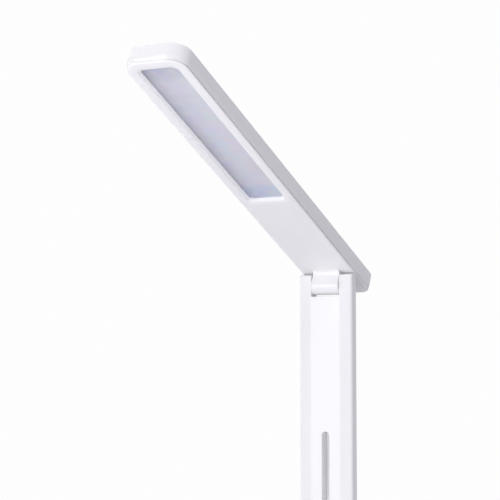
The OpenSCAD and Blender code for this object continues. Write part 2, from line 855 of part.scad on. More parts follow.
// side view of the knuckle and its neck, s along the head and up from the axis
module neck_side() {
    top = tilt_drop + bezel_t;
    circle(r = knuckle_r);
    translate([-knuckle_r, 0]) square([2 * knuckle_r, top]);
    difference() {
        translate([knuckle_r - eps, tilt_drop - knuckle_fillet])
            square([knuckle_fillet + eps, knuckle_fillet + eps]);
        translate([knuckle_r + knuckle_fillet, tilt_drop - knuckle_fillet])
            circle(r = knuckle_fillet);
    }
    difference() {
        translate([-knuckle_r - knuckle_back_fillet, tilt_drop - knuckle_back_fillet])
            square([knuckle_back_fillet + eps, knuckle_back_fillet + eps]);
        translate([-knuckle_r - knuckle_back_fillet, tilt_drop - knuckle_back_fillet])
            circle(r = knuckle_back_fillet);
    }
}

module head_bezel() {
    color("white") difference() {
        union() {
            in_shell() difference() {
                union() {
                    rounded_slab(0, rim_h, head_low_round, 0.9 * rim_h, false);
                    // floor of the seam
                    translate([0, 0, rim_h - eps])
                        linear_extrude(seam_h + eps) head_outline(seam_depth);
                    translate([0, 0, rim_h - eps])
                        linear_extrude(bezel_t - rim_h + eps) head_outline(lip_inset);
                    // lip inside the top shell
                    translate([0, 0, bezel_t - eps]) linear_extrude(lip_h) difference() {
                        head_outline(lip_inset);
                        head_outline(lip_inset + lip_t);
                    }
                    // rib round the diffuser
                    translate([0, 0, bezel_t - eps]) linear_extrude(diffuser_t) difference() {
                        window_outline(diffuser_lap + slip_fit + rib_t,
                                       diffuser_lap + slip_fit + rib_t, window_r + rib_t);
                        window_outline(diffuser_lap + slip_fit, diffuser_lap + slip_fit, window_r);
                    }
                    led_screw_places() translate([0, 0, bezel_t - eps])
                        cylinder(r = 2.4 * small_screw_r, h = tray_top - bezel_t);
                }
                // shallow dish round the window, then the slope, then the straight wall
                hull() {
                    translate([0, 0, -layer]) linear_extrude(layer)
                        window_outline(window_slope + surround_side, window_slope + surround_end,
                                       window_r + 3.4, $fn = hull_fn);
                    translate([0, 0, surround_depth]) linear_extrude(layer)
                        window_outline(window_slope, window_slope, window_r + 0.9, $fn = hull_fn);
                }
                hull() {
                    translate([0, 0, surround_depth - layer]) linear_extrude(layer)
                        window_outline(window_slope, window_slope, window_r + 0.9, $fn = hull_fn);
                    translate([0, 0, surround_depth + window_slope]) linear_extrude(layer)
                        window_outline(0, 0, window_r, $fn = hull_fn);
                }
                translate([0, 0, surround_depth])
                    linear_extrude(bezel_t - surround_depth + eps) window_outline(0, 0, window_r);
                led_screw_places() translate([0, 0, bezel_t])
                    cylinder(r = small_screw_r + press_fit, h = cut_l);
            }
            // knuckle under the head
            in_head() rotate([90, 0, -90]) linear_extrude(knuckle_w, center = true) neck_side();
        }
        in_head() x_rod(tilt_pin_r + tilt_bush_wall + press_fit, -head_w, head_w);
        knuckle_screw_places() translate([0, 0, -knuckle_screw_l() - 0.3])
            cylinder(r = small_screw_r + press_fit, h = cut_l);
    }
}

module led_screw_places() {
    for (x = [-1, 1]) translate([x * led_screw_x, -led_screw_s, 0]) children();
}

// from the underside of the knuckle plate, which lies on the bezel
module knuckle_screw_places() {
    for (x = [-1, 1]) in_shell() translate([x * knuckle_w / 4, 0, bezel_t]) children();
}

function knuckle_screw_l() = bezel_t + tilt_drop - tilt_pin_r - tilt_bush_wall - 1.6;

module tilt_bush() {
    color("goldenrod") in_head()
        x_ring(tilt_pin_r + tilt_bush_wall, tilt_pin_r + run_fit, -knuckle_w / 2, knuckle_w / 2);
}

module knuckle_plate() {
    color("silver") difference() {
        in_shell() translate([0, 0, bezel_t]) linear_extrude(knuckle_plate_t)
            round_rect(knuckle_plate_w, knuckle_plate_l, 2);
        knuckle_screw_places() translate([0, 0, -eps])
            cylinder(r = small_screw_r + slip_fit, h = knuckle_plate_t + 2 * eps);
    }
}

module knuckle_screws() {
    color("silver") knuckle_screw_places() translate([0, 0, knuckle_plate_t])
        screw(small_screw_r, knuckle_plate_t + knuckle_screw_l());
}

module diffuser() {
    color([0.93, 0.95, 1]) in_shell() translate([0, 0, bezel_t]) linear_extrude(diffuser_t)
        window_outline(diffuser_lap, diffuser_lap, window_r);
}

module reflector_tray() {
    color("white") in_shell() translate([0, 0, diffuser_top]) linear_extrude(tray_h) difference() {
        window_outline(diffuser_lap + rib_t, diffuser_lap + rib_t, window_r + rib_t);
        window_outline(diffuser_lap + rib_t - tray_wall, diffuser_lap + rib_t - tray_wall, window_r);
    }
}

// plate over the tray, with a tab behind it for the two screws
module module_plate(z, t) {
    y1 = -board_start;
    y0 = -tray_end;
    translate([0, 0, z]) linear_extrude(t) difference() {
        translate([0, (y0 + y1) / 2]) round_rect(tray_w, y1 - y0, window_r);
        led_screw_places() circle(r = small_screw_r + slip_fit);
    }
}

module led_board() {
    color("whitesmoke") in_shell() module_plate(tray_top, led_board_t);
}

module heat_spreader() {
    color("silver") in_shell() module_plate(led_board_top, spreader_t);
}

module led_chips() {
    pitch = window_l / led_count;
    row_gap = window_w / led_rows;
    color("khaki") in_shell() for (i = [0:led_count - 1], j = [1:led_rows])
        translate([-window_w / 2 + (j - 0.5) * row_gap, -window_start - (i + 0.5) * pitch,
                   tray_top - led_t / 2])
            cube([led_size, led_size, led_t], center = true);
}

module led_screws() {
    color("silver") in_shell() led_screw_places()
        translate([0, 0, led_board_top + spreader_t])
            screw(small_screw_r * 0.9, led_board_t + spreader_t + tray_top - bezel_t - 0.6);
}

module head_lead() {
    s0 = knuckle_plate_l / 2 + 3;
    s1 = board_start - 1;
    color([0.2, 0.2, 0.22]) in_shell()
        translate([-knuckle_w / 4, -s0, bezel_t + head_lead_r + run_fit]) rotate([90, 0, 0])
            cylinder(r = head_lead_r, h = s1 - s0);
}

base_cover();
base_plate();
base_pad();
ballast();
hinge_bracket();
fold_pin();
fold_pin_caps();
fold_washers();
bracket_screws();
base_screws();
ballast_screws();
battery_pack();
control_board();
board_screws();
push_switch();
charge_board();
charge_socket();
power_button();
switch_plunger();
arm_front_shell();
arm_rear_cover();
arm_foot();
fold_bushes();
arm_bars();
arm_lead();
arm_screws();
tilt_pin();
tilt_pin_plug();
tilt_washers();
head_top_shell();
head_bezel();
tilt_bush();
knuckle_plate();
knuckle_screws();
diffuser();
reflector_tray();
led_board();
led_chips();
heat_spreader();
led_screws();
head_lead();
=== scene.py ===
import json
from math import atan2, cos, pi, radians, sin, sqrt, tan

import bmesh
import bpy
from mathutils import Matrix, Vector


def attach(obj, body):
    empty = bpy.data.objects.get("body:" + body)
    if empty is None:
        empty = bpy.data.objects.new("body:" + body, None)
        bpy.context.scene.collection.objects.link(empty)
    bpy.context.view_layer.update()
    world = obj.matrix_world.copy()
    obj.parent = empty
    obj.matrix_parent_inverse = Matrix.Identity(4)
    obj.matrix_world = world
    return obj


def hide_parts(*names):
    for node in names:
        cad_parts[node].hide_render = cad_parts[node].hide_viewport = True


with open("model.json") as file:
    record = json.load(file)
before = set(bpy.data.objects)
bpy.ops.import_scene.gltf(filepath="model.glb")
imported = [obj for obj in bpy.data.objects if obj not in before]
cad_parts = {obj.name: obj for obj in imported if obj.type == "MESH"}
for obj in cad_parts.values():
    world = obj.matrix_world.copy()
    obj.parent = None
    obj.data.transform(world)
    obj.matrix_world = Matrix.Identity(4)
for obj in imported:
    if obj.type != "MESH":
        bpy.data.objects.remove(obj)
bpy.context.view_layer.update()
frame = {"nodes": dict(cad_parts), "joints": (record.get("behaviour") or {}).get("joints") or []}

mm = 0.001
jointPlace = {j["name"]: Vector(j["pos_m"]) for j in frame["joints"] if "pos_m" in j}
foldAxis = jointPlace["arm_fold"]
tiltAxis = jointPlace["head_tilt"]
scene = bpy.context.scene
scene.view_settings.view_transform = "Standard"


# camera, room and lamps

view = {
    "place": (0.43703, -0.88250, 0.24289),  # metres
    "turn": (94.765, 0.0, 27.614),  # degrees
    "lens": 117.115,
    "sensor": 36.0,
}
room = {
    "floorRadius": 2.6,
    "floorColour": (0.62, 0.61, 0.64, 1),
    "shadowReach": (0.35, 1.1),  # the floor is plain up to the first radius and white from the second
    "whiteColour": (0.985, 0.985, 0.985, 1),
}
lamps = {  # place, width in metres, power in watts, colour; each points at the middle of the lamp
    "leftHigh": ((-1.021, 0.476, 2.399), 0.9, 22.3, (1, 1, 1)),
    "overhead": ((0, 0, 2.6), 1.2, 18.1, (1, 1, 1)),
    "rightHigh": ((1.088, -0.292, 2.399), 0.9, 17.6, (0.97, 0.96, 1.07)),
    "leftLow": ((-2.172, -1.013, 0.154), 0.3, 14.4, (1, 1, 1)),
    "rightLow": ((1.639, -1.639, 0.901), 0.8, 10.4, (0.97, 0.96, 1.07)),
    "backLeft": ((-2.318, 0, 0.901), 0.8, 2.9, (1, 1, 1)),
    "frontFar": ((0, -0.9, 0.2), 0.3, 1.38, (1, 1, 1)),
    "frontNear": ((0.07, -0.57, 0.12), 0.3, 0.76, (1, 1, 1)),
    "tallStrip": ((-0.845, -1.757, 0.45), 0.38, 4.9, (1, 1, 1)),  # the only one that gloss mirrors
}
aim = {"point": (0, -0.05, 0.3), "stripAcross": (0, 0.056), "stripHeight": 1.5}  # metres


def makeCamera():
    data = bpy.data.cameras.new("viewCamera")
    data.lens = view["lens"]
    data.sensor_width = view["sensor"]
    data.sensor_fit = "HORIZONTAL"
    data.clip_end = 60
    camera = bpy.data.objects.new("viewCamera", data)
    camera.location = view["place"]
    camera.rotation_euler = [radians(a) for a in view["turn"]]
    scene.collection.objects.link(camera)
    scene.camera = camera


def makeLamps():
    for name, (place, width, power, colour) in lamps.items():
        data = bpy.data.lights.new(name, "AREA")
        data.size = width
        data.energy = power
        data.color = colour
        lamp = bpy.data.objects.new(name, data)
        lamp.location = place
        target = Vector(aim["point"])
        if name == "tallStrip":
            data.shape = "RECTANGLE"
            data.size_y = aim["stripHeight"]
            target = Vector((*aim["stripAcross"], place[2]))
        else:
            data.shape = "DISK"
            lamp.visible_glossy = False
        lamp.rotation_euler = (target - Vector(place)).to_track_quat("-Z", "Y").to_euler()
        lamp.visible_camera = False
        scene.collection.objects.link(lamp)


def seenDirectly(nodes, links):  # 1 for camera, mirror and see-through rays
    path = nodes.new("ShaderNodeLightPath")
    first = nodes.new("ShaderNodeMath")
    first.operation = "MAXIMUM"
    links.new(path.outputs["Is Camera Ray"], first.inputs[0])
    links.new(path.outputs["Is Glossy Ray"], first.inputs[1])
    second = nodes.new("ShaderNodeMath")
    second.operation = "MAXIMUM"
    links.new(first.outputs[0], second.inputs[0])
    links.new(path.outputs["Is Transmission Ray"], second.inputs[1])
    return second.outputs[0]


def makeSky():
    world = bpy.data.worlds.new("softRoom")
    scene.world = world
    world.use_nodes = True
    nodes, links = world.node_tree.nodes, world.node_tree.links
    nodes.clear()
    dark = nodes.new("ShaderNodeBackground")
    dark.inputs["Color"].default_value = (0, 0, 0, 1)
    white = nodes.new("ShaderNodeBackground")
    white.inputs["Color"].default_value = room["whiteColour"]
    white.inputs["Strength"].default_value = 1.0
    mix = nodes.new("ShaderNodeMixShader")
    out = nodes.new("ShaderNodeOutputWorld")
    links.new(seenDirectly(nodes, links), mix.inputs["Fac"])
    links.new(dark.outputs[0], mix.inputs[1])
    links.new(white.outputs[0], mix.inputs[2])
    links.new(mix.outputs[0], out.inputs["Surface"])


def makeFloor():
    bm = bmesh.new()
    bmesh.ops.create_circle(bm, cap_ends=True, radius=room["floorRadius"], segments=96)
    mesh = bpy.data.meshes.new("studioFloor")
    bm.to_mesh(mesh)
    bm.free()
    floor = bpy.data.objects.new("studioFloor", mesh)
    scene.collection.objects.link(floor)
    material = bpy.data.materials.new("paleFloor")
    material.cycles.emission_sampling = "NONE"  # the white is only seen, so no lamp samples go to it
    material.use_nodes = True
    nodes, links = material.node_tree.nodes, material.node_tree.links
    nodes.clear()
    matt = nodes.new("ShaderNodeBsdfPrincipled")
    matt.inputs["Base Color"].default_value = room["floorColour"]
    matt.inputs["Roughness"].default_value = 0.8
    white = nodes.new("ShaderNodeEmission")
    white.inputs["Color"].default_value = room["whiteColour"]
    place = nodes.new("ShaderNodeTexCoord")
    distance = nodes.new("ShaderNodeVectorMath")
    distance.operation = "LENGTH"
    spread = nodes.new("ShaderNodeMapRange")
    spread.interpolation_type = "SMOOTHSTEP"
    spread.inputs["From Min"].default_value = room["shadowReach"][0]
    spread.inputs["From Max"].default_value = room["shadowReach"][1]
    both = nodes.new("ShaderNodeMath")
    both.operation = "MULTIPLY"
    mix = nodes.new("ShaderNodeMixShader")
    out = nodes.new("ShaderNodeOutputMaterial")
    links.new(place.outputs["Object"], distance.inputs[0])
    links.new(distance.outputs["Value"], spread.inputs["Value"])
    links.new(spread.outputs["Result"], both.inputs[0])
    links.new(seenDirectly(nodes, links), both.inputs[1])
    links.new(both.outputs[0], mix.inputs["Fac"])
    links.new(matt.outputs[0], mix.inputs[1])
    links.new(white.outputs[0], mix.inputs[2])
    links.new(mix.outputs[0], out.inputs["Surface"])
    mesh.materials.append(material)


makeCamera()
makeLamps()
makeSky()
makeFloor()
print("room and camera ready")


# effects shared by several finishes

def newGroup(name, inputs, outputs):
    group = bpy.data.node_groups.new(name, "ShaderNodeTree")
    for label, kind, value in inputs:
        socket = group.interface.new_socket(label, in_out="INPUT", socket_type=kind)
        if value is not None:
            socket.default_value = value
    for label, kind in outputs:
        group.interface.new_socket(label, in_out="OUTPUT", socket_type=kind)
    return group, group.nodes.new("NodeGroupInput"), group.nodes.new("NodeGroupOutput")


def groupMath(group, operation, first, second):
    node = group.nodes.new("ShaderNodeMath")
    node.operation = operation
    for socket, value in zip(node.inputs, (first, second)):
        if isinstance(value, (int, float)):
            socket.default_value = value
        else:
            group.links.new(value, socket)
    return node.outputs[0]


def groupNoise(group, vector, scale, detail, roughness=0.5):
    noise = group.nodes.new("ShaderNodeTexNoise")
    noise.inputs["Detail"].default_value = detail
    noise.inputs["Roughness"].default_value = roughness
    group.links.new(vector, noise.inputs["Vector"])
    if isinstance(scale, (int, float)):
        noise.inputs["Scale"].default_value = scale
    else:
        group.links.new(scale, noise.inputs["Scale"])
    return noise.outputs["Fac"]


def mouldGrainGroup():  # fine moulding texture and the slow unevenness of a moulded face
    group, start, end = newGroup(
        "mouldGrain",
        [("Vector", "NodeSocketVector", None), ("Grain Scale", "NodeSocketFloat", 1400.0),
         ("Flow Scale", "NodeSocketFloat", 24.0)],
        [("Height", "NodeSocketFloat"), ("Flow", "NodeSocketFloat")])
    grain = groupNoise(group, start.outputs["Vector"], start.outputs["Grain Scale"], 2)
    flow = groupNoise(group, start.outputs["Vector"], start.outputs["Flow Scale"], 3, 0.45)
    slow = groupMath(group, "MULTIPLY", flow, 0.6)
    fine = groupMath(group, "MULTIPLY", grain, 0.4)
    group.links.new(groupMath(group, "ADD", slow, fine), end.inputs["Height"])
    group.links.new(flow, end.inputs["Flow"])
    return group


def handlingGroup():  # faint smears left by fingers: a mask from 0 to 1
    group, start, end = newGroup(
        "handlingMarks",
        [("Vector", "NodeSocketVector", None), ("Smear Scale", "NodeSocketFloat", 18.0)],
        [("Mask", "NodeSocketFloat")])
    stretch = group.nodes.new("ShaderNodeVectorMath")
    stretch.operation = "MULTIPLY"
    stretch.inputs[1].default_value = (1.0, 1.0, 0.35)
    group.links.new(start.outputs["Vector"], stretch.inputs[0])
    smear = groupNoise(group, stretch.outputs[0], start.outputs["Smear Scale"], 5, 0.6)
    sharpen = group.nodes.new("ShaderNodeMapRange")
    sharpen.inputs["From Min"].default_value = 0.48
    sharpen.inputs["From Max"].default_value = 0.72
    group.links.new(smear, sharpen.inputs["Value"])
    group.links.new(sharpen.outputs["Result"], end.inputs["Mask"])
    return group


def brushedGroup():  # long parallel lines of rolled or turned metal
    group, start, end = newGroup(
        "brushedLines",
        [("Vector", "NodeSocketVector", None), ("Stretch", "NodeSocketVector", (20.0, 900.0, 900.0))],
        [("Lines", "NodeSocketFloat")])
    stretch = group.nodes.new("ShaderNodeVectorMath")
    stretch.operation = "MULTIPLY"
    group.links.new(start.outputs["Vector"], stretch.inputs[0])
    group.links.new(start.outputs["Stretch"], stretch.inputs[1])
    group.links.new(groupNoise(group, stretch.outputs[0], 1.0, 3), end.inputs["Lines"])
    return group


mouldGrain = mouldGrainGroup()
handlingMarks = handlingGroup()
brushedLines = brushedGroup()


# finishes

def newFinish(name):
    material = bpy.data.materials.new(name)
    material.use_nodes = True
    nodes = material.node_tree.nodes
    links = material.node_tree.links
    shader = nodes["Principled BSDF"]
    place = nodes.new("ShaderNodeTexCoord")
    return material, nodes, links, shader, place.outputs["Object"]


def spreadValue(nodes, links, value, low, high):
    node = nodes.new("ShaderNodeMapRange")
    node.inputs["To Min"].default_value = low
    node.inputs["To Max"].default_value = high
    links.new(value, node.inputs["Value"])
    return node.outputs["Result"]


def blendColour(nodes, links, mask, first, second):
    node = nodes.new("ShaderNodeMix")
    node.data_type = "RGBA"
    node.inputs["A"].default_value = (*first, 1)
    node.inputs["B"].default_value = (*second, 1)
    links.new(mask, node.inputs["Factor"])
    return node.outputs["Result"]


def raiseBump(nodes, links, height, strength, distance, shader):
    bump = nodes.new("ShaderNodeBump")
    bump.inputs["Strength"].default_value = strength
    bump.inputs["Distance"].default_value = distance
    links.new(height, bump.inputs["Height"])
    links.new(bump.outputs["Normal"], shader.inputs["Normal"])


def plasticFinish(name, colour, roughness, grainScale, bump, tint=0.985, marks=0.04, specular=0.5):
    material, nodes, links, shader, place = newFinish(name)
    grain = nodes.new("ShaderNodeGroup")
    grain.node_tree = mouldGrain
    grain.inputs["Grain Scale"].default_value = grainScale
    links.new(place, grain.inputs["Vector"])
    marksNode = nodes.new("ShaderNodeGroup")
    marksNode.node_tree = handlingMarks
    links.new(place, marksNode.inputs["Vector"])
    second = tuple(c * tint for c in colour)
    links.new(blendColour(nodes, links, grain.outputs["Flow"], colour, second), shader.inputs["Base Color"])
    rough = spreadValue(nodes, links, marksNode.outputs["Mask"], roughness, roughness + marks)
    links.new(rough, shader.inputs["Roughness"])
    shader.inputs["Specular IOR Level"].default_value = specular
    raiseBump(nodes, links, grain.outputs["Height"], bump, 0.0001, shader)
    return material


def metalFinish(name, colour, roughness, stretch):
    material, nodes, links, shader, place = newFinish(name)
    lines = nodes.new("ShaderNodeGroup")
    lines.node_tree = brushedLines
    lines.inputs["Stretch"].default_value = stretch
    links.new(place, lines.inputs["Vector"])
    second = tuple(c * 0.86 for c in colour)
    links.new(blendColour(nodes, links, lines.outputs["Lines"], colour, second), shader.inputs["Base Color"])
    rough = spreadValue(nodes, links, lines.outputs["Lines"], roughness - 0.06, roughness + 0.1)
    links.new(rough, shader.inputs["Roughness"])
    shader.inputs["Metallic"].default_value = 1.0
    raiseBump(nodes, links, lines.outputs["Lines"], 0.15, 0.0001, shader)
    return material


def boardFinish(name, mask, copper):  # solder mask over fine copper tracks
    material, nodes, links, shader, place = newFinish(name)
    tracks = nodes.new("ShaderNodeTexBrick")
    tracks.inputs["Scale"].default_value = 180.0
    tracks.inputs["Mortar Size"].default_value = 0.06
    tracks.inputs["Color1"].default_value = (0, 0, 0, 1)
    tracks.inputs["Color2"].default_value = (0.25, 0.25, 0.25, 1)
    tracks.inputs["Mortar"].default_value = (1, 1, 1, 1)
    links.new(place, tracks.inputs["Vector"])
    links.new(blendColour(nodes, links, tracks.outputs["Color"], mask, copper), shader.inputs["Base Color"])
    links.new(spreadValue(nodes, links, tracks.outputs["Fac"], 0.35, 0.5), shader.inputs["Roughness"])
    raiseBump(nodes, links, tracks.outputs["Fac"], 0.2, 0.0001, shader)
    return material


head = {  # y runs from the tip (negative) to the tail, z up from the underside
    "rise": 23.7, "drop": 8.15,
    "reach": 245.2, "tail": 26.8, "width": 37.4, "depth": 11.5,
    "tipCorner": 10, "tailCorner": 7, "topRound": 0.9, "lowRound": (1.5, 0.8),
    "rim": 1.0, "seam": 0.4, "wall": 1.6, "seamDepth": 0.9,
    "lean": (0.45, 2.6),  # the side leans in by this much over this height above the seam
    "leanShare": 0.88,  # of the lean that is gone at the top of that height
    "tipLean": 0.75, "tipFade": 0.7,  # more lean at the tip, and the share of the height where it ends
    "lip": (1.75, 1.0, 3.0), "bezel": 2.4, "sheet": 1.4,
    "windowStart": 97.1, "windowEnd": 236.7, "windowWidth": 22.6,
    "windowCorners": (3.8, 2.4),  # at the tip, at the tail
    "cornerGrow": 0.7,  # what a corner's radius gains as the outline moves out
    "lipWidth": 3.6, "lipDepth": 0.4, "slope": 1.3, "sheetLap": 1.4,
}


def lightSheetFinish():  # frosted sheet over two rows of unlit lamp chips; its colour also carries painted shade at the left side and at the tip end
    sheet = {
        # across: the sheet's own grey-blue, darkened towards the left wall as painted shade of that wall,
        # darkest at the left edge
        "across": [(0.0, (0.365, 0.37, 0.43)), (0.045, (0.45, 0.455, 0.52)), (0.085, (0.50, 0.505, 0.575)),
                   (0.16, (0.53, 0.54, 0.615)), (0.32, (0.585, 0.595, 0.68)), (0.62, (0.62, 0.63, 0.705)),
                   (1.0, (0.645, 0.65, 0.705))],
        # along: the tail end tinted blue, which is the sheet's own colour; the tip end darkened and a little
        # bluer as painted shade of the tip wall
        "along": [(0.0, (0.87, 0.90, 0.95)), (0.03, (0.83, 0.89, 0.99)), (0.065, (0.85, 0.92, 1.0)),
                  (0.12, (1.0, 1.0, 1.0)), (0.88, (1.0, 1.0, 1.0)), (0.925, (0.91, 0.93, 0.95)),
                  (0.966, (0.81, 0.825, 0.875)), (1.0, (0.77, 0.77, 0.81))],
        "chipColour": (0.74, 0.68, 0.66),
        "rowGap": 11.3 * mm, "pitch": 9.971 * mm, "firstChip": 102.086 * mm,
        "spotSize": 3.6 * mm, "chipShare": 0.25,
        "cloudScale": 110.0, "cloudShare": 0.2, "frostScale": 2600.0,
    }
    material, nodes, links, shader, place = newFinish("frostedLightSheet")
    alongHead = nodes.new("ShaderNodeMapping")  # places measured from the tilt axis along the head
    alongHead.vector_type = "TEXTURE"
    alongHead.inputs["Location"].default_value = tiltAxis
    alongHead.inputs["Rotation"].default_value = (-radians(head["rise"]), 0, 0)
    parts = nodes.new("ShaderNodeSeparateXYZ")
    links.new(place, alongHead.inputs["Vector"])
    links.new(alongHead.outputs["Vector"], parts.inputs[0])

    def math(operation, first, second=0.0, third=0.0):
        node = nodes.new("ShaderNodeMath")
        node.operation = operation
        for socket, value in zip(node.inputs, (first, second, third)):
            if isinstance(value, (int, float)):
                socket.default_value = value
            else:
                links.new(value, socket)
        return node.outputs[0]

    def ramp(value, low, high, stops):
        share = nodes.new("ShaderNodeMapRange")
        share.inputs["From Min"].default_value = low * mm
        share.inputs["From Max"].default_value = high * mm
        links.new(value, share.inputs["Value"])
        colours = nodes.new("ShaderNodeValToRGB")
        elements = colours.color_ramp.elements
        while len(elements) < len(stops):
            elements.new(0.5)
        for element, (position, colour) in zip(elements, stops):
            element.position = position
            element.color = (*colour, 1)
        links.new(share.outputs["Result"], colours.inputs["Fac"])
        return colours.outputs["Color"]

    def multiply(first, second, amount):
        node = nodes.new("ShaderNodeMix")
        node.data_type = "RGBA"
        node.blend_type = "MULTIPLY"
        node.inputs["Factor"].default_value = amount
        links.new(first, node.inputs["A"])
        links.new(second, node.inputs["B"])
        return node.outputs["Result"]

    half = head["windowWidth"] / 2
    # the two ramps multiplied: the sheet's own colour together with its painted shade from the left and tip
    # walls
    base = multiply(ramp(parts.outputs["X"], -half, half, sheet["across"]),
                    ramp(math("MULTIPLY", parts.outputs["Y"], -1.0), head["windowStart"], head["windowEnd"],
                         sheet["along"]), 1.0)
    cloud = nodes.new("ShaderNodeTexNoise")
    cloud.inputs["Scale"].default_value = sheet["cloudScale"]
    cloud.inputs["Detail"].default_value = 1
    links.new(place, cloud.inputs["Vector"])
    tint = nodes.new("ShaderNodeBrightContrast")
    tint.inputs["Bright"].default_value = 0.5
    links.new(cloud.outputs["Color"], tint.inputs["Color"])
    base = multiply(base, tint.outputs["Color"], sheet["cloudShare"])
    across = math("SUBTRACT", math("ABSOLUTE", parts.outputs["X"]), sheet["rowGap"] / 2)
    shifted = math("ADD", parts.outputs["Y"], sheet["firstChip"])
    step = math("WRAP", shifted, sheet["pitch"] / 2, -sheet["pitch"] / 2)
    reach = math("SQRT", math("ADD", math("MULTIPLY", across, across), math("MULTIPLY", step, step)))
    spot = nodes.new("ShaderNodeMapRange")
    spot.interpolation_type = "SMOOTHSTEP"
    spot.inputs["From Min"].default_value = sheet["spotSize"]
    spot.inputs["From Max"].default_value = 0.2 * mm
    links.new(reach, spot.inputs["Value"])
    chips = nodes.new("ShaderNodeMix")
    chips.data_type = "RGBA"
    chips.inputs["B"].default_value = (*sheet["chipColour"], 1)
    links.new(base, chips.inputs["A"])
    links.new(math("MULTIPLY", spot.outputs["Result"], sheet["chipShare"]), chips.inputs["Factor"])
    links.new(chips.outputs["Result"], shader.inputs["Base Color"])
    links.new(spreadValue(nodes, links, cloud.outputs["Fac"], 0.42, 0.5), shader.inputs["Roughness"])
    frost = nodes.new("ShaderNodeTexNoise")
    frost.inputs["Scale"].default_value = sheet["frostScale"]
    links.new(place, frost.inputs["Vector"])
    raiseBump(nodes, links, frost.outputs["Fac"], 0.08, 0.0001, shader)
    return material


finish = {
    "whiteShell": plasticFinish("glossWhiteShell", (0.90, 0.90, 0.91), 0.16, 1400, 0.03),
    "whiteBracket": plasticFinish("whiteBracketPaint", (0.89, 0.89, 0.90), 0.30, 900, 0.05),
    "buttonGrey": plasticFinish("mattButton", (0.70, 0.71, 0.73), 0.42, 2200, 0.10, 0.97),
    "darkPlastic": plasticFinish("darkPlate", (0.10, 0.10, 0.11), 0.5, 1800, 0.15, 0.9, 0.08),
    "padRubber": plasticFinish("padRubber", (0.045, 0.045, 0.05), 0.75, 1200, 0.3, 0.8, 0.1, 0.3),
    "nylon": plasticFinish("nylonWasher", (0.84, 0.84, 0.83), 0.38, 1600, 0.05),
    "frictionPad": plasticFinish("fibreWasher", (0.08, 0.08, 0.08), 0.7, 3000, 0.3, 0.7),
    "leadRubber": plasticFinish("leadSleeve", (0.09, 0.09, 0.10), 0.55, 2000, 0.1, 0.85),
    "batteryWrap": plasticFinish("batteryFilm", (0.22, 0.34, 0.52), 0.35, 600, 0.2, 0.9),
    "whiteBoard": plasticFinish("whiteLightBoard", (0.88, 0.88, 0.86), 0.4, 1500, 0.05, 0.97),
    "chipPhosphor": plasticFinish("chipPhosphor", (0.88, 0.76, 0.34), 0.4, 3000, 0.1, 0.93),
    "ballastSteel": metalFinish("ballastSteel", (0.34, 0.35, 0.36), 0.5, (40.0, 700.0, 700.0)),
    "brightSteel": metalFinish("brightSteel", (0.72, 0.72, 0.73), 0.24, (30.0, 900.0, 900.0)),
    "aluminium": metalFinish("rolledAluminium", (0.80, 0.80, 0.81), 0.36, (900.0, 20.0, 900.0)),
    "brass": metalFinish("turnedBrass", (0.74, 0.58, 0.28), 0.3, (900.0, 120.0, 120.0)),
    "circuitBoard": boardFinish("greenBoard", (0.03, 0.22, 0.10), (0.10, 0.36, 0.16)),
    "lightSheet": lightSheetFinish(),
}
print("finishes ready:", len(finish))


# mesh tools: outlines in millimetres, bodies built up from rings

def roundedOutline(corners, inset=0.0, steps=6):
    # corners are (x, y, radius) or (x, y, radius, share), anticlockwise; an edge that starts at a
    # corner moves in by inset times that corner's share
    share = [c[3] if len(c) > 3 else 1.0 for c in corners]
    points = []
    for i, (x, y, radius) in enumerate(c[:3] for c in corners):
        last, following = corners[i - 1], corners[(i + 1) % len(corners)]
        inward = Vector((x - last[0], y - last[1])).normalized()
        outward = Vector((following[0] - x, following[1] - y)).normalized()
        inNormal = Vector((-inward.y, inward.x))
        outNormal = Vector((-outward.y, outward.x))
        turn = inward.cross(outward)
        first, second = inset * share[i - 1], inset * share[i]
        corner = Vector((x + (first * outNormal.y - second * inNormal.y) / turn,
                         y + (second * inNormal.x - first * outNormal.x) / turn))
        side = 1 if turn > 0 else -1
        angle = atan2(abs(turn), inward.dot(outward))
        radius = max(radius - side * (first + second) / 2, 0.02)
        centre = corner - inward * radius * tan(angle / 2) + inNormal * side * radius
        arm = -inNormal * side * radius
        for k in range(steps + 1):
            a = side * angle * k / steps
            points.append((centre.x + arm.x * cos(a) - arm.y * sin(a),
                           centre.y + arm.x * sin(a) + arm.y * cos(a)))
    return points


def rectangle(x0, y0, x1, y1, radius, steps=6):
    return lambda inset: roundedOutline(
        [(x0, y0, radius), (x1, y0, radius), (x1, y1, radius), (x0, y1, radius)], inset, steps)


def roundHole(x, y, radius, sides=32):
    def outline(inset):
        r = radius - inset
        return [(x + r * cos(2 * pi * k / sides), y + r * sin(2 * pi * k / sides)) for k in range(sides)]
    return outline


def movedIn(points, amount):  # a closed line of points moved in along its own normals
    moved = []
    for i, here in enumerate(points):
        before, after = Vector(points[i - 1]), Vector(points[(i + 1) % len(points)])
        here = Vector(here)
        first = (here - before).normalized()
        second = (after - here).normalized()
        normal = Vector((-first.y - second.y, first.x + second.x))
        normal /= max(normal.length_squared / 2, 0.2)
        moved.append(tuple(here + normal * amount))
    return moved


def softProfile(low, high, lowRound, highRound, steps=5, between=()):
    rows = []
    for k in range(steps + 1):
        a = pi / 2 * k / steps
        rows.append((lowRound * (1 - sin(a)), low + lowRound * (1 - cos(a))))
    rows += [(0.0, h) for h in between]
    for k in range(steps + 1):
        a = pi / 2 * k / steps
        rows.append((highRound * (1 - cos(a)), high - highRound * (1 - sin(a))))
    return rows


def opened(rows):  # the same profile for a hole, which widens where a body narrows
    return [(-inset, height) for inset, height in rows]


def closeRings(bm, rings):
    edges = [bm.edges.get((ring[i - 1], ring[i])) for ring in rings for i in range(len(ring))]
    bmesh.ops.triangle_fill(bm, use_beauty=True, edges=edges)


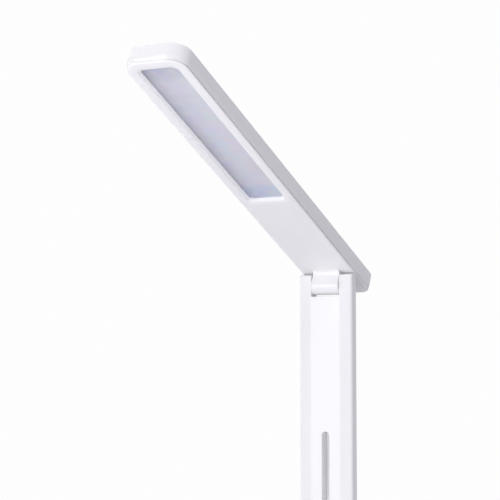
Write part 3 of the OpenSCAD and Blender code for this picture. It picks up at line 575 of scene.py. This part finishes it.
def buildBody(outline, profile, holes=(), put=lambda u, v, h: (u, v, h)):
    bm = bmesh.new()
    first, last = [], []
    for shape, rows in ((outline, profile), *holes):
        rings = [[bm.verts.new(Vector(put(u, v, height)) * mm) for u, v in shape(inset)]
                 for inset, height in rows]
        for low, high in zip(rings, rings[1:]):
            for i in range(len(low)):
                bm.faces.new((low[i - 1], low[i], high[i], high[i - 1]))
        first.append(rings[0])
        last.append(rings[-1])
    closeRings(bm, first)
    closeRings(bm, last)
    bmesh.ops.recalc_face_normals(bm, faces=bm.faces)
    return bm


def toObject(name, *bodies):
    mesh = bpy.data.meshes.new(name)
    whole = bmesh.new()
    for bm in bodies:
        bm.to_mesh(mesh)
        bm.free()
        whole.from_mesh(mesh)
    whole.to_mesh(mesh)
    whole.free()
    piece = bpy.data.objects.new(name, mesh)
    scene.collection.objects.link(piece)
    return piece


def evaluatedMesh(piece):
    bpy.context.view_layer.update()
    graph = bpy.context.evaluated_depsgraph_get()
    return bpy.data.meshes.new_from_object(piece.evaluated_get(graph))


def combine(piece, tool, operation):
    change = piece.modifiers.new("combine", "BOOLEAN")
    change.operation = operation
    change.solver = "EXACT"
    change.object = tool
    mesh = evaluatedMesh(piece)
    piece.modifiers.clear()
    piece.data = mesh
    bpy.data.objects.remove(tool)


def rodAlongX(radius, x0, x1, y=0.0, z=0.0, soft=0.0, sides=96):
    rows = softProfile(x0, x1, soft, soft, 4) if soft else [(0.0, x0), (0.0, x1)]
    return buildBody(roundHole(y, z, radius, sides), rows, put=lambda u, v, h: (h, u, v))


def settle(piece, place, body, material, slotName, *nodes, sharp=35, weight=55):
    mesh = piece.data
    mesh.transform(place)
    mesh.materials.clear()
    mesh.materials.append(material)
    mesh.polygons.foreach_set("use_smooth", [True] * len(mesh.polygons))
    mesh.set_sharp_from_angle(angle=radians(sharp))
    even = piece.modifiers.new("evenNormals", "WEIGHTED_NORMAL")
    even.weight = weight
    even.keep_sharp = True
    even.thresh = 0.01
    piece.data = evaluatedMesh(piece)
    piece.modifiers.clear()
    piece.data.name = piece.name
    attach(piece, body)
    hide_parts(*nodes)
    return piece


basePlace = Matrix.Identity(4)
armPlace = Matrix.Translation(foldAxis)

# head

knuckle = {
    "radius": 5.4, "width": 18.4, "frontFillet": 3.0, "backFillet": 1.4,
    "edge": 0.35, "bore": 3.42, "sink": 0.03, "root": 0.8,
}
headPlace = (Matrix.Translation(tiltAxis) @ Matrix.Rotation(-radians(head["rise"]), 4, "X")
             @ Matrix.Translation((0, 0, head["drop"] * mm)))


def headOutline(inset):
    w = head["width"] / 2
    return roundedOutline([(-w, -head["reach"], head["tipCorner"]), (w, -head["reach"], head["tipCorner"]),
                           (w, head["tail"], head["tailCorner"]), (-w, head["tail"], head["tailCorner"])],
                          inset, 12)


def windowOutline(grow):  # outline of the window, moved outwards
    w, low, high = head["windowWidth"] / 2 + grow, -head["windowEnd"] - grow, -head["windowStart"] + grow
    tip, tail = (corner + head["cornerGrow"] * grow for corner in head["windowCorners"])
    return roundedOutline([(-w, low, tip), (w, low, tip), (w, high, tail), (-w, high, tail)], 0, 8)


def makeHeadTop():
    h, wall, low = head["depth"], head["wall"], head["rim"] + head["seam"]
    lean, up = head["lean"]
    rows = [(wall, h - wall), (wall, low), (lean + 0.1, low), (lean, low + 0.1)]
    rows += [(lean * (1 - head["leanShare"] * u), low + 0.1 + (up - 0.1) * u) for u in (0.35, 0.7, 1)]
    rows += softProfile(low + up + 0.5, h, 0, head["topRound"], 6)[6:]
    shell = toObject("headTopShell", buildBody(headOutline, rows))
    for point in shell.data.vertices:
        share = (-point.co.y / mm - head["reach"] + head["tipCorner"]) / (head["tipCorner"] - lean)
        height = (point.co.z / mm - low) / up
        if share > 0 and height < 1:
            fade = 1 - min(1, max(0, height) / head["tipFade"])
            point.co.y += head["tipLean"] * mm * min(1, share) ** 2 * fade
    return settle(shell, headPlace, "head", finish["whiteShell"], "white_shell", "head_top_shell")


def windowRows(steps=8):  # a shallow rounded dish, a plain slope, then the straight wall down to the sheet
    wide, tall, slope = head["lipWidth"], head["lipDepth"], head["slope"]
    rows = [(slope + wide * (1 - k / steps), tall * (k / steps) ** 2) for k in range(steps + 1)]
    return rows + [(slope - 0.08, tall + 0.12), (0.08, tall + slope - 0.08), (0, tall + slope + 0.06),
                   (0, head["bezel"])]


def knuckleSide(inset):
    r, drop = knuckle["radius"], head["drop"]
    front, back = knuckle["frontFillet"], knuckle["backFillet"]
    top = knuckle["sink"]
    points = [(-r - front, knuckle["root"]), (-r - front, top)]
    for k in range(1, 13):  # fillet towards the tip
        a = pi / 2 * k / 12
        points.append((-r - front + front * sin(a), top - front + front * cos(a)))
    for k in range(0, 33):  # barrel round the tilt pin
        a = pi + pi * k / 32
        points.append((r * cos(a), -drop + r * sin(a)))
    for k in range(0, 9):
        a = pi / 2 * k / 8
        points.append((r + back - back * cos(a), top - back + back * sin(a)))
    points.append((r + back, knuckle["root"]))
    return movedIn(points, inset)


def makeBezel():
    rim, seam, thick = head["rim"], head["seamDepth"], head["bezel"]
    wide, tall = head["lowRound"]
    inner, lipWall, lipHeight = head["lip"]
    edge = head["lean"][0]
    rows = [(edge + wide * (1 - sin(pi / 20 * k)), tall * (1 - cos(pi / 20 * k))) for k in range(11)]
    rows += [(edge + 0.06, rim), (edge + seam, rim), (edge + seam, rim + head["seam"] - 0.02),
             (inner, rim + head["seam"] - 0.02)]
    rows += [(inner, thick + lipHeight), (inner + lipWall, thick + lipHeight), (inner + lipWall, thick)]
    plate = buildBody(headOutline, rows, [(windowOutline, windowRows())])
    piece = toObject("headBezel", plate)
    half = knuckle["width"] / 2
    neckRows = softProfile(-half, half, knuckle["edge"], knuckle["edge"], 4)
    neck = toObject("neck", buildBody(knuckleSide, neckRows, put=lambda u, v, h: (h, u, v)))
    combine(piece, neck, "UNION")
    combine(piece, toObject("bore", rodAlongX(knuckle["bore"], -half - 1, half + 1, 0, -head["drop"])),
            "DIFFERENCE")
    return settle(piece, headPlace, "head", finish["whiteShell"], "white_shell", "head_bezel")


def makeLightSheet():
    lap, lift = head["sheetLap"], 0.02
    half, low = head["windowWidth"] / 2 + lap, head["bezel"]
    outline = rectangle(-half, -head["windowEnd"] - lap, half, -head["windowStart"] + lap,
                        head["windowCorners"][1], 6)
    rows = softProfile(low + lift, low + head["sheet"] - lift, 0.15, 0.15, 2)
    return settle(toObject("lightSheet", buildBody(outline, rows)), headPlace, "head",
                  finish["lightSheet"], "diffuser_sheet", "diffuser")


makeHeadTop()
makeBezel()
makeLightSheet()
print("head ready")


# arm

arm = {  # x across, y front to back, z up from the fold axis
    "length": 262.0, "width": 36.6, "depth": 8.6, "edge": 1.5, "foot": 11.0,
    "railSlope": 5.0, "railBlend": 1.0,  # degrees that each side of the front leans back, and its soft start
    "ear": 7.8, "notchWidth": 19.4, "notchFloor": 255.6, "notchEdge": 0.4,
    "slotWidth": 5.0, "slotLow": 57.8, "slotHigh": 169.8, "slotEdge": 0.35, "slotRim": 1.2,
    "front": 2.5, "coverFace": 2.7, "wallBack": 2.55, "inside": 16.5, "web": 251.6,
    "pinBore": 2.52, "pinEnd": 16.3, "plugBore": 2.72, "plugEnd": -16.9,
    "screwHeights": (49.1, 180.5, 210.7, 244.1), "footScrews": (9.15, 23.0),
}


def leanRails(bm):  # the middle of the front stays flat and its two sides lean back
    split, blend = arm["notchWidth"] / 2 * mm, arm["railBlend"] * mm
    for x in (-split - blend, -split, split, split + blend):
        everything = bm.verts[:] + bm.edges[:] + bm.faces[:]
        bmesh.ops.bisect_plane(bm, geom=everything, plane_co=(x, 0, 0), plane_no=(1, 0, 0), dist=1e-7)
    lean = tan(radians(arm["railSlope"]))
    for v in bm.verts:
        if v.co.y < -arm["depth"] * mm * 0.3:
            out = max(abs(v.co.x) - split, 0.0)
            v.co.y += lean * (out * out / (2 * blend) if out < blend else out - blend / 2)


def crownEars(bm):  # the ears end in a cylinder round the tilt axis
    r, axis = arm["ear"] * mm, arm["length"] * mm
    for v in bm.verts:
        v.co.z = min(v.co.z, axis + sqrt(max(r * r - v.co.y ** 2, 0.0)))


def armFrontOutline(inset):
    w, n = arm["width"] / 2, arm["notchWidth"] / 2
    top = arm["length"] + arm["ear"]
    return roundedOutline([
        (-w, arm["foot"], 0.05, 0.06), (w, arm["foot"], 0.05, 1.0), (w, top, 0.5, 0.5),
        (n, top, 0.5, 0.25), (n, arm["notchFloor"], 0.5, 0.25), (-n, arm["notchFloor"], 0.5, 0.25),
        (-n, top, 0.5, 0.5), (-w, top, 0.5, 1.0)], inset, 4)


def slotOutline(grow):
    w = arm["slotWidth"] / 2
    return rectangle(-w, arm["slotLow"], w, arm["slotHigh"], w - 0.001, 10)(-grow)


def makeArmShell():
    half = arm["depth"] / 2
    sideways = lambda u, v, h: (u, h, v)
    rows = softProfile(-half, half, arm["edge"], arm["edge"], 6, between=(-1.4, 0.0, 1.4))
    slotRows = [(arm["slotEdge"] * (1 - sin(pi / 8 * k)), -half + arm["slotEdge"] * (1 - cos(pi / 8 * k)))
                for k in range(5)] + [(0.0, half)]
    bm = buildBody(armFrontOutline, rows, [(slotOutline, slotRows)], sideways)
    leanRails(bm)
    crownEars(bm)
    shell = toObject("armFrontShell", bm)
    pocket = rectangle(-arm["inside"], arm["foot"] - 2, arm["inside"], arm["web"], 0.3, 3)
    island = lambda inset: slotOutline(arm["slotRim"])
    combine(shell, toObject("pocket", buildBody(
        pocket, [(0, -arm["front"]), (0, half + 1)],
        [(island, [(0, -arm["front"]), (0, half + 1)])], sideways)), "DIFFERENCE")
    combine(shell, toObject("coverSeat", buildBody(
        pocket, [(0, arm["wallBack"]), (0, half + 1)], (), sideways)), "DIFFERENCE")
    combine(shell, toObject("pinBore", rodAlongX(
        arm["pinBore"], -arm["width"], arm["pinEnd"], 0, arm["length"])), "DIFFERENCE")
    combine(shell, toObject("plugBore", rodAlongX(
        arm["plugBore"], -arm["width"], arm["plugEnd"], 0, arm["length"])), "DIFFERENCE")
    return settle(shell, armPlace, "arm", finish["whiteShell"], "white_shell", "arm_front_shell", weight=100)


rearCover = {
    "gap": 0.15, "screwHole": 1.02, "screwHead": 0.6,
    "seatGrow": (1.03, 1.2),  # what a screw seat adds to the hole's radius, inside and at the face
    "seatEdge": 0.2,
}
plug = {"radius": 2.7, "edge": 0.3}


def makeRearCover():
    half, gap, face = arm["depth"] / 2, rearCover["gap"], arm["coverFace"]
    seat, edge = half - rearCover["screwHead"], half - rearCover["seatEdge"]
    wide, widest = rearCover["seatGrow"]
    outline = rectangle(-arm["inside"] + gap, arm["foot"], arm["inside"] - gap, arm["web"] - gap, 0.4, 3)
    rows = softProfile(face, half, 0.05, 0.25, 3)
    holeRows = opened([(0, face), (0, seat), (wide, seat), (wide, edge), (widest, half)])
    x, z = arm["footScrews"]
    places = [(0, h) for h in arm["screwHeights"]] + [(-x, z), (x, z)]
    holes = [(roundHole(px, pz, rearCover["screwHole"]), holeRows) for px, pz in places]
    bm = buildBody(outline, rows, holes, lambda u, v, h: (u, h, v))
    return settle(toObject("armRearCover", bm), armPlace, "arm", finish["whiteShell"], "white_shell",
                  "arm_rear_cover")


def makePlug():
    rows = softProfile(-arm["width"] / 2, arm["plugEnd"], plug["edge"], 0.02, 3)
    bm = buildBody(roundHole(0, arm["length"], plug["radius"], 48), rows, put=lambda u, v, h: (h, u, v))
    return settle(toObject("tiltPinPlug", bm), armPlace, "arm", finish["whiteShell"], "white_shell",
                  "tilt_pin_plug")


foot = {
    "radius": 8.4, "width": 35.8, "edge": 0.7, "collarFrom": 6.2, "bore": 4.22,
    "tongue": (16.35, 2.35, 24.0),  # half width, half depth and length
}


def armSection(inset):  # cross-section of the arm seen from above
    w, n, d = arm["width"] / 2, arm["notchWidth"] / 2, arm["depth"] / 2
    lean = (w - n) * tan(radians(arm["railSlope"]))
    return roundedOutline([(-n, -d, 0.05), (n, -d, 0.05), (w, -d + lean, arm["edge"]), (w, d, arm["edge"]),
                           (-w, d, arm["edge"]), (-w, -d + lean, arm["edge"])], inset, 6)


def makeArmFoot():
    half = foot["width"] / 2
    piece = toObject("armFoot", rodAlongX(foot["radius"], -half, half, soft=foot["edge"], sides=120))
    combine(piece, toObject("collar", buildBody(
        armSection, softProfile(foot["collarFrom"], arm["foot"], 0.0, 0.1, 2))), "UNION")
    w, d, l = foot["tongue"]
    combine(piece, toObject("tongue", buildBody(
        rectangle(-w, -d, w, d, 0.4, 3), [(0, arm["foot"] - 0.5), (0, arm["foot"] + l)])), "UNION")
    combine(piece, toObject("bore", rodAlongX(foot["bore"], -half - 1, half + 1)), "DIFFERENCE")
    return settle(piece, armPlace, "arm", finish["whiteShell"], "white_shell", "arm_foot")


makeArmShell()
makeRearCover()
makePlug()
makeArmFoot()
print("arm ready")


# base

base = {  # origin in the middle of the foot print, z up from the table
    "width": 112.0, "length": 168.0, "height": 22.0, "corner": 24.0, "edge": 3.0,
    "low": 0.8, "wall": 2.4, "ceiling": 19.6, "holeEdge": 0.4,
    "earSlot": (7.3, 18.3), "earX": 22.1, "foldY": 60.0,
    "socket": (20.0, 11.2, 9.24, 3.5),  # y, z, width and height of the mouth
}
button = {
    "x": 34.0, "y": -50.0, "radius": 7.0, "gap": 0.3, "low": 18.0, "top": 23.2,
    "flange": (1.4, 18.4, 19.4), "edge": 0.5, "dish": 0.35,
}
bracket = {
    "earIn": 18.6, "earOut": 25.6, "radius": 9.0, "low": 3.2, "axis": 44.05, "edge": 1.1,
    "foot": (24.0, 3.0), "bore": 3.02,
}
cap = {"radius": 5.0, "depth": 1.2, "edge": 0.5, "dish": 0.25}
pad = {
    "margin": 8.15, "height": 1.35,
    "groove": 0.35, "grooveWidth": 1.2, "grooveStarts": (22.0, 17.0, 12.0, 7.0),
}


def baseOutline(inset):
    w, l = base["width"] / 2, base["length"] / 2
    return rectangle(-w, -l, w, l, base["corner"], 14)(inset)


def makeBaseCover():
    top, wall, ceiling, e = base["height"], base["wall"], base["ceiling"], base["holeEdge"]
    rows = [(wall, ceiling), (wall, base["low"]), (0.25, base["low"])]
    rows += softProfile(base["low"] + 0.25, top, 0, base["edge"], 10)[10:]
    w, l = (s / 2 for s in base["earSlot"])
    holeRows = opened([(0, ceiling)] + softProfile(ceiling + 1, top, 0, e, 4)[4:])
    holes = [(roundHole(button["x"], button["y"], button["radius"] + button["gap"], 64), holeRows)]
    for side in (-1, 1):
        x = side * base["earX"]
        holes.append((rectangle(x - w, base["foldY"] - l, x + w, base["foldY"] + l, 0.4, 3), holeRows))
    cover = toObject("baseCover", buildBody(baseOutline, rows, holes))
    y, z, mouthWidth, mouthHeight = base["socket"]
    mouth = rectangle(y - mouthWidth / 2, z - mouthHeight / 2, y + mouthWidth / 2, z + mouthHeight / 2,
                      mouthHeight / 2 - 0.001, 8)
    out = base["width"] / 2
    rows = [(0, 10 - out), (0, 0.3 - out), (-0.3, -out), (-0.3, -out - 1)]
    combine(cover, toObject("mouth", buildBody(mouth, rows, put=lambda u, v, h: (h, u, v))), "DIFFERENCE")
    return settle(cover, basePlace, "base", finish["whiteShell"], "white_shell", "base_cover")


def makeButton():
    x, y, r, top = button["x"], button["y"], button["radius"], button["top"]
    wide, flangeLow, flangeTop = button["flange"]
    rows = [(0, button["low"]), (0, flangeLow), (-wide, flangeLow), (-wide, flangeTop), (0, flangeTop)]
    rows += softProfile(flangeTop + 0.5, top, 0, button["edge"], 5)[5:]
    flat = button["edge"] + 0.4
    for k in range(13):
        inset = flat + (r - flat - 0.2) * k / 12
        rows.append((inset, top - button["dish"] * (1 - ((r - inset) / (r - flat)) ** 2)))
    return settle(toObject("powerButton", buildBody(roundHole(x, y, r, 64), rows)), basePlace, "button",
                  finish["buttonGrey"], "button_grey", "power_button")


def makeBracket():
    r, low, axis = bracket["radius"], bracket["low"], bracket["axis"]
    length, thick = bracket["foot"]
    y = base["foldY"]
    side = lambda inset: roundedOutline(
        [(y - r, low, 0.3), (y + r, low, 0.3), (y + r, axis + r, r - 0.01), (y - r, axis + r, r - 0.01)],
        inset, 16)
    piece = toObject("hingeBracket", buildBody(
        rectangle(-bracket["earOut"], y - length / 2, bracket["earOut"], y + length / 2, 0.5, 3),
        [(0, low), (0, low + thick)]))
    for x0, x1 in ((-bracket["earOut"], -bracket["earIn"]), (bracket["earIn"], bracket["earOut"])):
        rows = softProfile(x0, x1, bracket["edge"], bracket["edge"], 5)
        bore = (roundHole(y, axis, bracket["bore"], 48), [(0, x0), (0, x1)])
        combine(piece, toObject("ear", buildBody(side, rows, [bore], lambda u, v, h: (h, u, v))), "UNION")
    return settle(piece, basePlace, "base", finish["whiteBracket"], "white_bracket", "hinge_bracket")


def makeCaps():
    bodies = []
    out, r = bracket["earOut"], cap["radius"]
    rows = [(0, out)] + softProfile(out + 0.3, out + cap["depth"], 0, cap["edge"], 4)[4:]
    for k in range(1, 9):
        inset = cap["edge"] + (r - cap["edge"] - 0.2) * k / 8
        rows.append((inset, out + cap["depth"] - cap["dish"] * sin(pi / 2 * k / 8)))
    for side in (-1, 1):
        flip = lambda u, v, h, side=side: (side * h, u, v)
        bodies.append(buildBody(roundHole(base["foldY"], bracket["axis"], r, 48), rows, put=flip))
    return settle(toObject("foldPinCaps", *bodies), basePlace, "base", finish["whiteBracket"],
                  "white_bracket", "fold_pin_caps")


def makePad():
    g, w = pad["groove"], pad["grooveWidth"]
    rows = []
    for start in pad["grooveStarts"]:  # grip grooves that follow the outline
        rows += [(start, 0), (start - 0.2, g), (start - 0.2 - w, g), (start - 0.4 - w, 0)]
    rows += softProfile(0, pad["height"], 0.4, 0.1, 3)
    outline = lambda inset: baseOutline(pad["margin"] + inset)
    return settle(toObject("basePad", buildBody(outline, rows)), basePlace, "base", finish["padRubber"],
                  "pad_rubber", "base_pad")


makeBaseCover()
makeButton()
makeBracket()
makeCaps()
makePad()
print("base ready")


# pieces that keep their modelled shape

nodeFinish = {
    "base_plate": "darkPlastic", "ballast": "ballastSteel", "fold_pin": "brightSteel",
    "fold_washers": "frictionPad", "bracket_screws": "brightSteel", "base_screws": "brightSteel",
    "ballast_screws": "brightSteel", "battery_pack": "batteryWrap", "control_board": "circuitBoard",
    "board_screws": "brightSteel", "push_switch": "darkPlastic", "charge_board": "circuitBoard",
    "charge_socket": "brightSteel", "switch_plunger": "darkPlastic", "fold_bushes": "brass",
    "arm_bars": "ballastSteel", "arm_lead": "leadRubber", "arm_screws": "brightSteel",
    "tilt_pin": "brightSteel", "tilt_washers": "nylon", "tilt_bush": "brass",
    "knuckle_plate": "brightSteel", "knuckle_screws": "brightSteel", "reflector_tray": "whiteBoard",
    "led_board": "whiteBoard", "led_chips": "chipPhosphor", "heat_spreader": "aluminium",
    "led_screws": "brightSteel", "head_lead": "leadRubber",
}
for nodeName, finishName in nodeFinish.items():
    slots = frame["nodes"][nodeName].data.materials
    slots.clear()
    slots.append(finish[finishName])
print("finishes set on", len(nodeFinish), "inner pieces")
